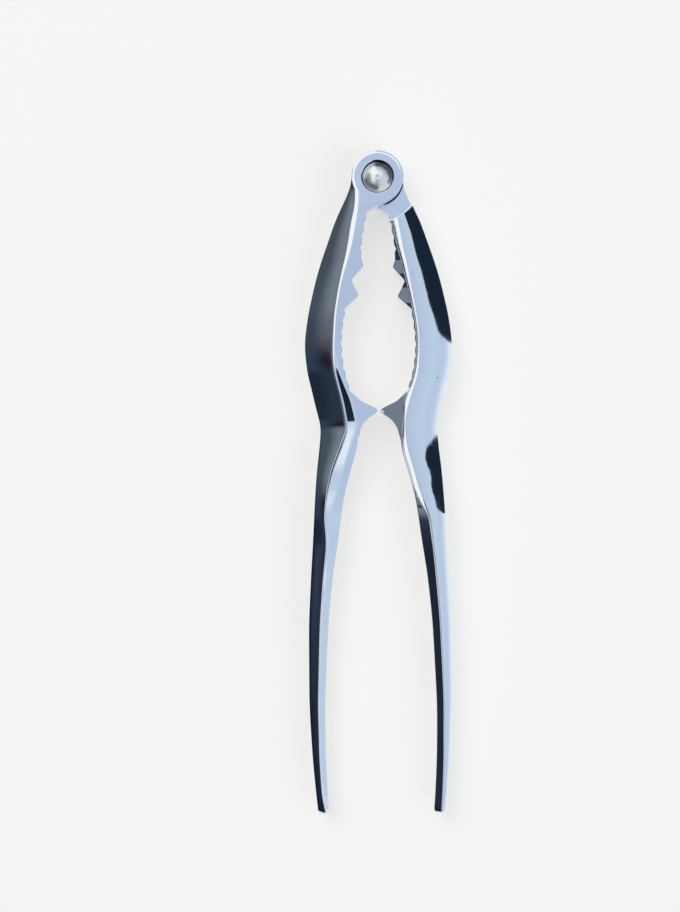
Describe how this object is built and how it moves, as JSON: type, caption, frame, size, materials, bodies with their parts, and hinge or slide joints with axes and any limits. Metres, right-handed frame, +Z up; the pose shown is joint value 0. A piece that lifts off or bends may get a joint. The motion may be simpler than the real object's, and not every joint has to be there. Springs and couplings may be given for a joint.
{
  "type": "lever nutcracker",
  "caption": "Hand-held lever nutcracker: toothed jaws with a wide and a narrow nut space, long bowed handles, joined at overlapping eyes by a domed rivet.",
  "frame": {"origin": "middle of the closed press's outline, on the plane that it lies on", "axes": "+Y along the press from the handle tips to the eyes, +X across the jaws towards the lever whose eye is underneath, +Z up from the table along the pivot"},
  "size_m": [0.0434, 0.195, 0.014],
  "materials": {
    "lever_chrome": "bright chrome plating over a polished zinc casting, slightly wavy, with a few fine casting pits and hairline scratches",
    "rivet_steel": "satin steel with fine turned rings from the rivet's forming tool and a small centre dimple"
  },
  "bodies": {
    "left_arm": {"left_lever": "lever_chrome", "pivot_rivet": "rivet_steel"},
    "right_arm": {"right_lever": "lever_chrome"}
  },
  "joints": [
    {"name": "lever_pivot", "type": "hinge", "parent": "left_arm", "child": "right_arm", "pos_m": [0, 0.0899, 0.007], "axis": [0, 0, 1], "range_deg": [0, 180]}
  ]
}
